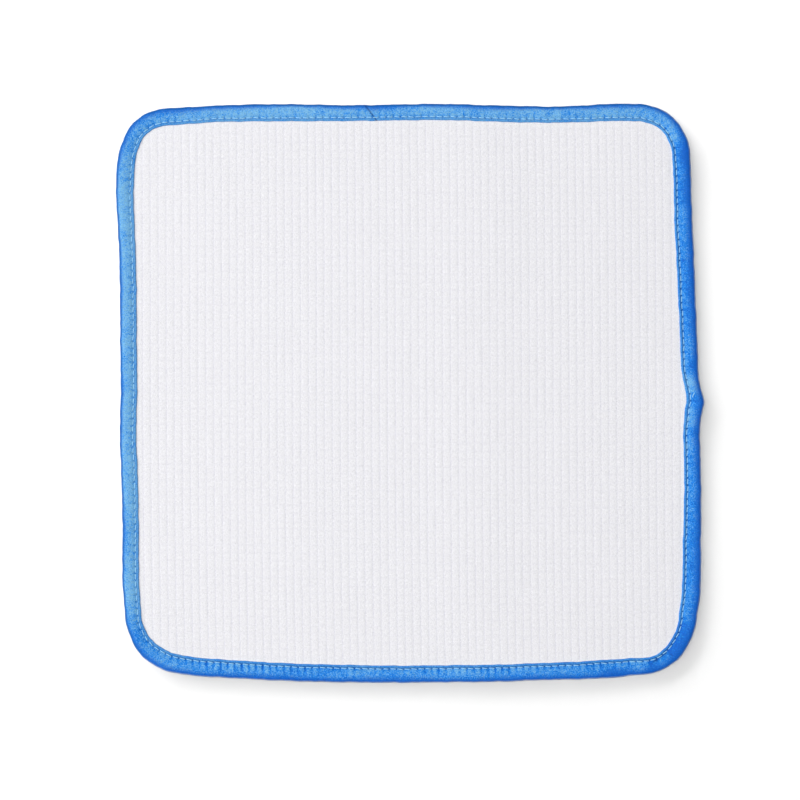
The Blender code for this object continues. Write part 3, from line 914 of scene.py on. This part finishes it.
def feed_inputs(node, **values):
    """Feeds a node's inputs by name, with underscores for spaces."""
    for key, value in values.items():
        feed(node.inputs[key.replace("_", " ")], value)
    return node


def maths(tree, operation, *values, clamp=False):
    """A Math node on sockets or numbers."""
    node = add_node(tree, "ShaderNodeMath", operation=operation, use_clamp=clamp)
    for socket, value in zip(node.inputs, values):
        feed(socket, value)
    return node.outputs[0]


def times(tree, first, second):
    """A product."""
    return maths(tree, "MULTIPLY", first, second)


def plus(tree, first, second):
    """A sum."""
    return maths(tree, "ADD", first, second)


def clamped(tree, value):
    """A value kept from 0 to 1."""
    return maths(tree, "ADD", value, 0.0, clamp=True)


def mix_colours(tree, share, first, second):
    """A colour Mix node on sockets or values."""
    node = add_node(tree, "ShaderNodeMix", data_type="RGBA")
    for name, value in (("Factor_Float", share), ("A_Color", first), ("B_Color", second)):
        feed(next(s for s in node.inputs if s.identifier == name), value)
    return next(s for s in node.outputs if s.identifier == "Result_Color")


def map_range(tree, value, span, onto):
    """A smooth Map Range node from one span onto another."""
    node = add_node(tree, "ShaderNodeMapRange", interpolation_type="SMOOTHSTEP")
    feed_inputs(node, Value=value, From_Min=span[0], From_Max=span[1], To_Min=onto[0],
                To_Max=onto[1])
    return node.outputs["Result"]


def scaled(tree, colour, tone):
    """A colour times a tone."""
    node = add_node(tree, "ShaderNodeVectorMath", operation="SCALE")
    return feed_inputs(node, Vector=colour, Scale=tone).outputs["Vector"]


def noise(tree, vector, scale, detail, roughness=0.5):
    """A Noise Texture's value, about 0.5 on average."""
    node = add_node(tree, "ShaderNodeTexNoise")
    feed_inputs(node, Vector=vector, Scale=scale, Detail=detail, Roughness=roughness)
    return node.outputs["Fac"]


def cloth_uv(tree):
    """The piece's own UV map, along and across it, and its two parts."""
    uv = add_node(tree, "ShaderNodeUVMap", uv_map="cloth").outputs["UV"]
    split = feed_inputs(add_node(tree, "ShaderNodeSeparateXYZ"), Vector=uv)
    return uv, split.outputs["X"], split.outputs["Y"]


def object_place(tree):
    """The place in the piece, in metres."""
    return add_node(tree, "ShaderNodeTexCoord").outputs["Object"]


def mesh_value(tree, name):
    """A named value of the mesh."""
    return add_node(tree, "ShaderNodeAttribute", attribute_name=name).outputs["Fac"]


def fibre_group():
    """Node group for brushed fibre: flecks a colour lighter and darker at two sizes, and gives a
    height for the same fibres."""
    group = bpy.data.node_groups.new("fibre", "ShaderNodeTree")
    for name, way, kind in (("Vector", "INPUT", "Vector"), ("Color", "INPUT", "Color"),
                            ("Coarse", "INPUT", "Float"), ("Fine", "INPUT", "Float"),
                            ("Amount", "INPUT", "Float"), ("Color", "OUTPUT", "Color"),
                            ("Height", "OUTPUT", "Float")):
        group.interface.new_socket(name, in_out=way, socket_type="NodeSocket" + kind)
    start = group.nodes.new("NodeGroupInput").outputs
    end = group.nodes.new("NodeGroupOutput")
    coarse, fine = (noise(group, start["Vector"], start[size], detail=2.0, roughness=0.6)
                    for size in ("Coarse", "Fine"))
    height = plus(group, times(group, coarse, 0.5), times(group, fine, 0.5))
    swing = times(group, maths(group, "SUBTRACT", height, 0.5), start["Amount"])
    feed_inputs(end, Color=scaled(group, start["Color"], plus(group, swing, 1.0)), Height=height)
    return group


def fibre(tree, group, vector, colour, coarse, fine, amount):
    """Places the fibre group with its own values."""
    node = add_node(tree, "ShaderNodeGroup", node_tree=group)
    feed_inputs(node, Vector=vector, Color=colour, Coarse=coarse, Fine=fine, Amount=amount)
    return node.outputs["Color"], node.outputs["Height"]


def start_material(name, roughness, sheen, sheen_roughness, specular):
    """A material with its shader, whose plain values are set on the shader itself."""
    material = bpy.data.materials.new(name)
    material.use_nodes = True
    tree = material.node_tree
    shader = tree.nodes["Principled BSDF"]
    feed_inputs(shader, Roughness=roughness, Sheen_Weight=sheen, Sheen_Roughness=sheen_roughness,
                Specular_IOR_Level=specular)
    return material, tree, shader


def colour_and_relief(tree, shader, colour, height, strength, distance):
    """Feeds the shader its colour, and a fine relief from a height value by a Bump node."""
    node = add_node(tree, "ShaderNodeBump")
    feed_inputs(node, Strength=strength, Distance=distance, Height=height)
    feed_inputs(shader, Base_Color=colour, Normal=node.outputs["Normal"])


def waffle_finish(group):
    """White microfibre: faintly bluish, with painted shade in the hollows and along a broken line
    between columns, flecked by brushed fibre, with slow changes of tone and a fine relief of yarns."""
    material, tree, shader = start_material("white_waffle", roughness=0.92, sheen=0.25,
                                            sheen_roughness=0.55, specular=0.25)
    uv, u, v = cloth_uv(tree)
    stretch = add_node(tree, "ShaderNodeVectorMath", operation="MULTIPLY")
    for socket, value in zip(stretch.inputs, (uv, FLECK_STRETCH)):
        feed(socket, value)
    flecks = stretch.outputs["Vector"]
    # Painted shade along the line between columns and in the hollows, broken up by noise.
    from_line = maths(tree, "PINGPONG", maths(tree, "DIVIDE", u, COLUMN_PITCH * MM), 0.5)
    line = map_range(tree, from_line, (0.0, LINE_HALF_WIDTH), (LINE_SHADE, 0.0))
    painted_shade = plus(tree, times(tree, mesh_value(tree, "hollow"), HOLLOW_SHADE), line)
    broken = times(tree, noise(tree, flecks, scale=380.0, detail=2.0), BROKEN["swing"])
    painted_shade = times(tree, painted_shade, maths(tree, "SUBTRACT", broken, BROKEN["less"]))
    cloth = mix_colours(tree, clamped(tree, painted_shade), WAFFLE_TOP, WAFFLE_GROOVE_SHADE)
    colour, height = fibre(tree, group, flecks, cloth, coarse=950.0, fine=1900.0, amount=0.72)
    slow = times(tree, noise(tree, uv, scale=28.0, detail=2.0), SLOW_TONE["swing"])
    colour = scaled(tree, colour, plus(tree, slow, SLOW_TONE["least"]))
    yarns = [maths(tree, "SINE", times(tree, place, 2 * math.pi * YARNS / (pitch * MM)))
             for place, pitch in ((u, COLUMN_PITCH), (v, ROW_PITCH))]
    weave = times(tree, times(tree, *yarns), YARN_RELIEF)
    colour_and_relief(tree, shader, colour, plus(tree, weave, height), strength=0.5,
                      distance=0.00035)
    return material


def satin_finish(group):
    """Blue satin tape, mottled and brushed, with painted sheen where it faces the light. Painted
    shade reaches in from the outer fold. The brim has painted shade on the lit sides and is paler on
    the others, and the border at the inner edge, the seam, the needle holes and the creases get
    painted shade."""
    material, tree, shader = start_material("blue_satin", roughness=0.6, sheen=0.03,
                                            sheen_roughness=0.4, specular=0.12)
    across = times(tree, cloth_uv(tree)[2], 1.0 / MM)
    place = object_place(tree)
    blotch = noise(tree, place, scale=190.0, detail=3.0, roughness=0.6)
    lean = times(tree, maths(tree, "SUBTRACT", blotch, 0.5), BLOTCH_SWING)
    grain = noise(tree, place, scale=1200.0, detail=2.0, roughness=0.7)
    grain = times(tree, maths(tree, "SUBTRACT", grain, 0.5), GRAIN_SWING)
    nap = plus(tree, plus(tree, mesh_value(tree, "nap"), lean), grain)
    reach = plus(tree, maths(tree, "DIVIDE", across, mesh_value(tree, "fold_reach")),
                 times(tree, lean, FOLD_SHIFT))
    side = mesh_value(tree, "towards_light")
    lit = map_range(tree, side, LIT_SPAN, (0.0, 1.0))
    brims = [map_range(tree, across, brim["span"], (brim["share"], 0.0))
             for brim in (LIT_BRIM_SHADE, PALE_BRIM)]
    # Painted sheen where the tape faces the light, then painted shade from the outer fold, on the
    # brim of the lit sides and along the inner border.
    colour = mix_colours(tree, clamped(tree, nap), SATIN_AWAY, SATIN_LIT_SHEEN)
    for share, over in (
            (map_range(tree, nap, LOW_SHEEN_SHADE_SPAN, (1.0, 0.0)), SATIN_FOLD_SHADE),
            (map_range(tree, reach, FOLD_SPAN, (1.0, 0.0)), SATIN_FOLD_SHADE),
            (times(tree, brims[0], lit), SATIN_LIT_BRIM_SHADE),
            (times(tree, brims[1], maths(tree, "SUBTRACT", 1.0, lit)), SATIN_BRIM),
            (map_range(tree, across, BORDER_SHADE["span"], (0.0, BORDER_SHADE["share"])), SATIN_BORDER_SHADE)):
        colour = mix_colours(tree, share, colour, over)
    # Painted shade in the seam, the needle holes and the creases, stronger on the sides away from
    # the light.
    seam_shade = times(tree, mesh_value(tree, "seam_shade"), SEAM_SHADE)
    sunk = times(tree, maths(tree, "MAXIMUM", mesh_value(tree, "hole"), seam_shade),
                 map_range(tree, side, SUNK_SPAN, SUNK_ON_SPAN))
    sunk = maths(tree, "MAXIMUM", sunk, mesh_value(tree, "crease_shade"), clamp=True)
    colour = mix_colours(tree, times(tree, sunk, SUNK_SHADE), colour, SATIN_SUNK_SHADE)
    colour, height = fibre(tree, group, place, colour, coarse=750.0, fine=1500.0, amount=0.9)
    colour_and_relief(tree, shader, colour, height, strength=0.45, distance=0.0003)
    return material


def thread_finish(group):
    """Light blue polyester thread, two plies twisted along each stitch, with painted shade between
    the plies.
    """
    material, tree, shader = start_material("blue_thread", roughness=0.5, sheen=0.1,
                                            sheen_roughness=0.4, specular=0.5)
    _, u, v = cloth_uv(tree)
    # The plies: painted shade between them, the thread's own light blue on their crowns.
    turn = plus(tree, times(tree, u, THREAD_TURNS), times(tree, v, THREAD_PLIES))
    ply = maths(tree, "ABSOLUTE", maths(tree, "SINE", times(tree, turn, math.pi)))
    base = mix_colours(tree, ply, THREAD_PLY_SHADE, THREAD_LIGHT)
    colour, height = fibre(tree, group, object_place(tree), base, coarse=1500.0, fine=4000.0,
                           amount=0.5)
    colour_and_relief(tree, shader, colour, plus(tree, ply, height), strength=0.4,
                      distance=0.00008)
    return material


# The studio

def add_camera():
    """Looks straight down, with +Y up in the picture, from where the frame's width fits."""
    data = bpy.data.cameras.new("camera")
    data.lens = LENS
    data.sensor_width = SENSOR
    data.clip_start, data.clip_end = CAMERA_RANGE
    camera = new_object("camera", data)
    camera.location = (FRAME_MIDDLE[0] * MM, FRAME_MIDDLE[1] * MM,
                       FRAME_WIDTH * MM * LENS / SENSOR + FRAME_HEIGHT * MM)
    bpy.context.scene.camera = camera


def add_softbox(name, box):
    """An oblong area lamp that faces the middle of the towel."""
    data = bpy.data.lights.new(name, "AREA")
    data.shape = "RECTANGLE"
    data.size, data.size_y = box["size"]
    data.energy = box["power"]
    lamp = new_object(name, data)
    turn, rise = math.radians(box["round"]), math.radians(box["up"])
    lamp.location = (box["distance"] * math.cos(rise) * math.cos(turn),
                     box["distance"] * math.cos(rise) * math.sin(turn),
                     box["distance"] * math.sin(rise))
    lamp.rotation_euler = (math.pi / 2 - rise, 0.0, turn + math.pi / 2)
    return lamp


def add_floor():
    """A wide white surface that glows a little, as a lit table does, and fades away round the
    towel."""
    mesh = bpy.data.meshes.new("floor")
    mesh.from_pydata([(x * FLOOR_HALF_WIDTH, y * FLOOR_HALF_WIDTH, FLOOR_HEIGHT)
                      for x, y in ((-1, -1), (1, -1), (1, 1), (-1, 1))], [], [(0, 1, 2, 3)])
    floor = new_object("floor", mesh)
    material, tree, shader = start_material("white_table", roughness=0.9, sheen=0.0,
                                            sheen_roughness=0.5, specular=0.1)
    place = object_place(tree)
    mottle = times(tree, noise(tree, place, scale=60.0, detail=2.0), FLOOR_MOTTLE)
    length = feed_inputs(add_node(tree, "ShaderNodeVectorMath", operation="LENGTH"), Vector=place)
    feed_inputs(shader, Base_Color=plus(tree, mottle, FLOOR_ALBEDO - FLOOR_MOTTLE / 2),
                Emission_Color=(1.0, 1.0, 1.0, 1.0), Emission_Strength=FLOOR_GLOW,
                Alpha=map_range(tree, length.outputs["Value"], FLOOR_FADE, (1.0, 0.0)))
    mesh.materials.append(material)
    return floor


def light_studio(floor):
    """A large softbox up and to the left, one overhead, a low one for the floor alone, which makes
    the wide soft shadow, and a faint even glow that the camera sees as a pale surround."""
    scene = bpy.context.scene
    scene.view_settings.view_transform = "Standard"
    world = bpy.data.worlds.new("studio")
    world.use_nodes = True
    tree = world.node_tree
    seen = add_node(tree, "ShaderNodeLightPath").outputs["Is Camera Ray"]
    surround = times(tree, seen, SURROUND_GLOW - WORLD_GLOW)
    feed_inputs(tree.nodes["Background"], Color=WORLD_COLOUR,
                Strength=plus(tree, surround, WORLD_GLOW))
    scene.world = world
    lamps = {name: add_softbox(name, box) for name, box in SOFTBOXES.items()}
    lit = bpy.data.collections.new("lit_by_table_lamp")
    lit.objects.link(floor)
    lamps["table_lamp"].light_linking.receiver_collection = lit


# Putting it together

rim = edge_line()
number_stitches(rim)
hole_strength = np.clip(1.0 + HOLE_UNEVEN * rng.standard_normal(rim["stitches"]), *HOLE_LIMITS)

cloth = build_cloth(rim)
tape = build_tape(rim, hole_strength)
thread = build_stitches(rim, hole_strength)

fibres = fibre_group()
cloth.data.materials.append(waffle_finish(fibres))
tape.data.materials.append(satin_finish(fibres))
thread.data.materials.append(thread_finish(fibres))

for piece in (cloth, tape, thread):
    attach(piece, "root")
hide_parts("waffle_panel")
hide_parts("edge_binding")

light_studio(add_floor())
add_camera()
